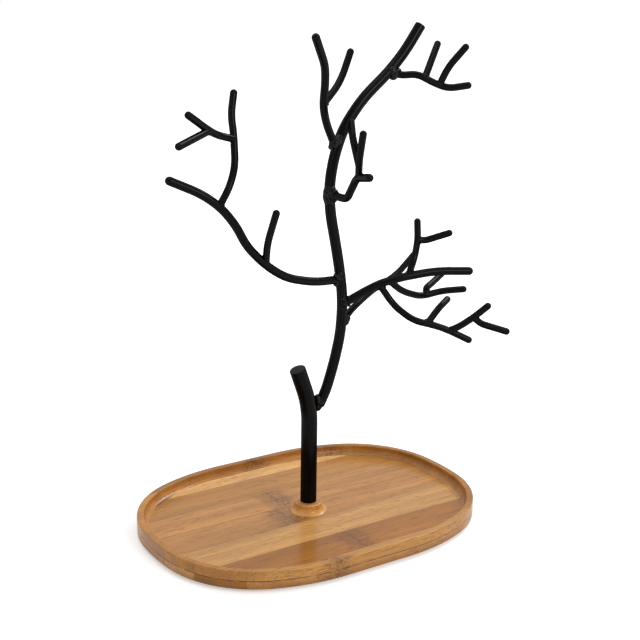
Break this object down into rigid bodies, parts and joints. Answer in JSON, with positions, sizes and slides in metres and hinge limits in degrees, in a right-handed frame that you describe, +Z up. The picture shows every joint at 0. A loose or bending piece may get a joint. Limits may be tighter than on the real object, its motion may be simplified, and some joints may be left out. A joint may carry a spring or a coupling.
{
  "type": "jewellery tree",
  "caption": "Black rod tree with bent, welded branches for hanging necklaces and bracelets, screwed to a shallow bamboo tray that holds rings and small things.",
  "frame": {"origin": "on the table, under the middle of the tray, where the post's axis meets the plane of the feet", "axes": "+Z up along the straight part of the post, +X along the tray's length, to the right as seen from the front, +Y towards the back"},
  "size_m": [0.222, 0.16, 0.3152],
  "materials": {
    "bamboo_light": "satin lacquered bamboo, pale strip",
    "bamboo_mid": "satin lacquered bamboo",
    "bamboo_dark": "satin lacquered bamboo, darker strip",
    "bamboo_rim": "satin lacquered bamboo, edges rounded",
    "black_powder_coat": "semi-gloss black powder coat on steel rod",
    "zinc_steel": "bright zinc plate",
    "foot_rubber": "matt black rubber"
  },
  "bodies": {
    "root": {"branch_inner": "black_powder_coat", "branch_left": "black_powder_coat", "branch_rear": "black_powder_coat", "branch_right": "black_powder_coat", "branch_top_left": "black_powder_coat", "branch_top_right": "black_powder_coat", "fixing_screw": "zinc_steel", "floor_strip_1": "bamboo_mid", "floor_strip_2": "bamboo_dark", "floor_strip_3": "bamboo_light", "floor_strip_4": "bamboo_mid", "floor_strip_5": "bamboo_mid", "floor_strip_6": "bamboo_mid", "floor_strip_7": "bamboo_light", "inner_spur": "black_powder_coat", "inner_upright": "black_powder_coat", "left_twig": "black_powder_coat", "left_upright": "black_powder_coat", "left_upright_fork": "black_powder_coat", "left_upright_spur": "black_powder_coat", "post": "black_powder_coat", "post_boss": "bamboo_rim", "right_lower": "black_powder_coat", "right_lower_fork": "black_powder_coat", "right_lower_spur": "black_powder_coat", "right_lower_tip": "black_powder_coat", "right_middle": "black_powder_coat", "right_middle_spur": "black_powder_coat", "right_upright": "black_powder_coat", "right_upright_spur": "black_powder_coat", "rim_back": "bamboo_rim", "rim_front": "bamboo_rim", "rim_left_2": "bamboo_rim", "rim_left_3": "bamboo_rim", "rim_left_4": "bamboo_rim", "rim_left_5": "bamboo_rim", "rim_left_6": "bamboo_rim", "rim_right_2": "bamboo_rim", "rim_right_3": "bamboo_rim", "rim_right_4": "bamboo_rim", "rim_right_5": "bamboo_rim", "rim_right_6": "bamboo_rim", "rubber_feet": "foot_rubber", "screw_washer": "zinc_steel", "top_left_twig": "black_powder_coat", "top_twig_far": "black_powder_coat", "top_twig_near": "black_powder_coat", "trunk": "black_powder_coat", "welds_inner": "black_powder_coat", "welds_left": "black_powder_coat", "welds_right": "black_powder_coat", "welds_top": "black_powder_coat", "welds_trunk": "black_powder_coat"}
  },
  "joints": []
}
